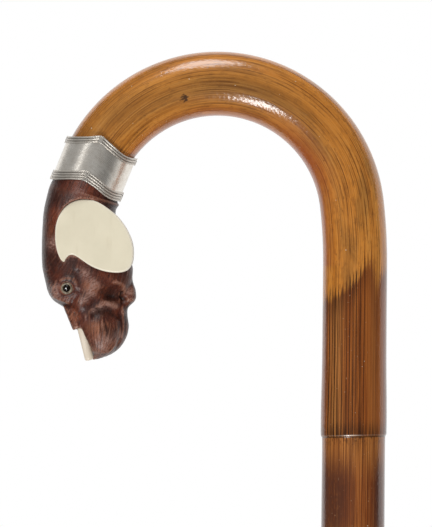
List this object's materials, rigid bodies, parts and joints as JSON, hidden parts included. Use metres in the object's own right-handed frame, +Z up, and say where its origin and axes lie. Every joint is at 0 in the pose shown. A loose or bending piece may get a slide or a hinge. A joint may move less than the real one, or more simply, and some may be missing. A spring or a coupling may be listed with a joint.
{
  "type": "walking cane",
  "caption": "Crook-handled walking cane of knotted wood; the crook ends in a silver collar and a carved elephant's head with cream ears and tusks; brass ferrule.",
  "frame": {"origin": "middle of the foot's flat face, where the cane stands", "axes": "+Z up the shaft, the crook reaches towards -X, and the head's left side faces -Y"},
  "size_m": [0.13, 0.0296, 0.91],
  "materials": {
    "cane_wood": "varnished",
    "head_wood": "satin",
    "silver": "brushed silver",
    "cream": "satin, like polished bone",
    "eye_glass": "polished black",
    "steel": "worn",
    "brass": "worn satin"
  },
  "bodies": {
    "root": {"cane": "cane_wood", "neck_stud": "steel", "collar_sleeve": "silver", "collar_upper_border": "silver", "collar_lower_border": "silver", "collar_ties": "silver", "carved_head": "head_wood", "ear_plate_left": "cream", "ear_plate_right": "cream", "ear_pegs_left": "cream", "ear_pegs_right": "cream", "tusk_left": "cream", "tusk_right": "cream", "eye_ring_left": "cream", "eye_ring_right": "cream", "eye_glass_left": "eye_glass", "eye_glass_right": "eye_glass", "eye_wire_left": "steel", "eye_wire_right": "steel", "ferrule_shell": "brass", "ferrule_tip": "steel", "ferrule_nails": "brass"}
  },
  "joints": []
}
